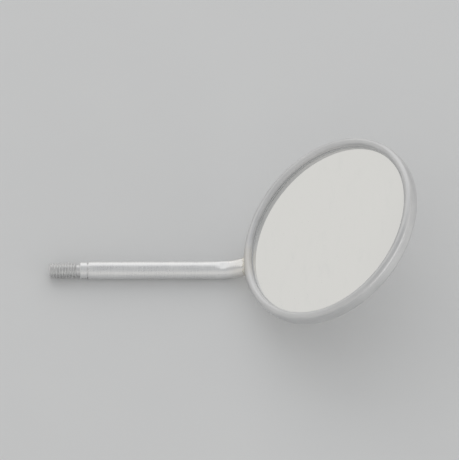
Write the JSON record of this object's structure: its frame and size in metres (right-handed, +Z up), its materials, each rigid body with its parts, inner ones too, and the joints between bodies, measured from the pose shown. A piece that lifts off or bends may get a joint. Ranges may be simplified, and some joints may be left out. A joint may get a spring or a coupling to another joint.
{
  "type": "mouth mirror",
  "caption": "Mouth mirror head: a round mirror in a rolled steel rim, brazed at an angle to a short bent stem whose threaded end screws into a separate handle.",
  "frame": {"origin": "on the stem's straight axis, at the front edge of the pilot land that centres it in the handle", "axes": "+Y along the stem towards the mirror, +Z up on the mirror's reflecting side, X across the mirror"},
  "size_m": [0.0254, 0.0454, 0.0184],
  "materials": {
    "stem_steel": "satin-turned stainless steel",
    "braze_metal": "silver braze, polished over",
    "rim_steel": "satin-polished stainless steel sheet, lathe-spun",
    "plate_steel": "satin stainless steel sheet, brushed in circles",
    "pad_plastic": "plain soft plastic foam, hidden",
    "glass": "clear float glass, edges ground",
    "mirror_layer": "bright front-surface mirror layer",
    "seal_rubber": "light grey silicone sealing ring"
  },
  "bodies": {
    "root": {"stem": "stem_steel", "braze_joint": "braze_metal", "rim_frame": "rim_steel", "back_plate": "plate_steel", "backing_pad": "pad_plastic", "mirror_glass": "glass", "mirror_coating": "mirror_layer", "rim_seal": "seal_rubber"}
  },
  "joints": []
}
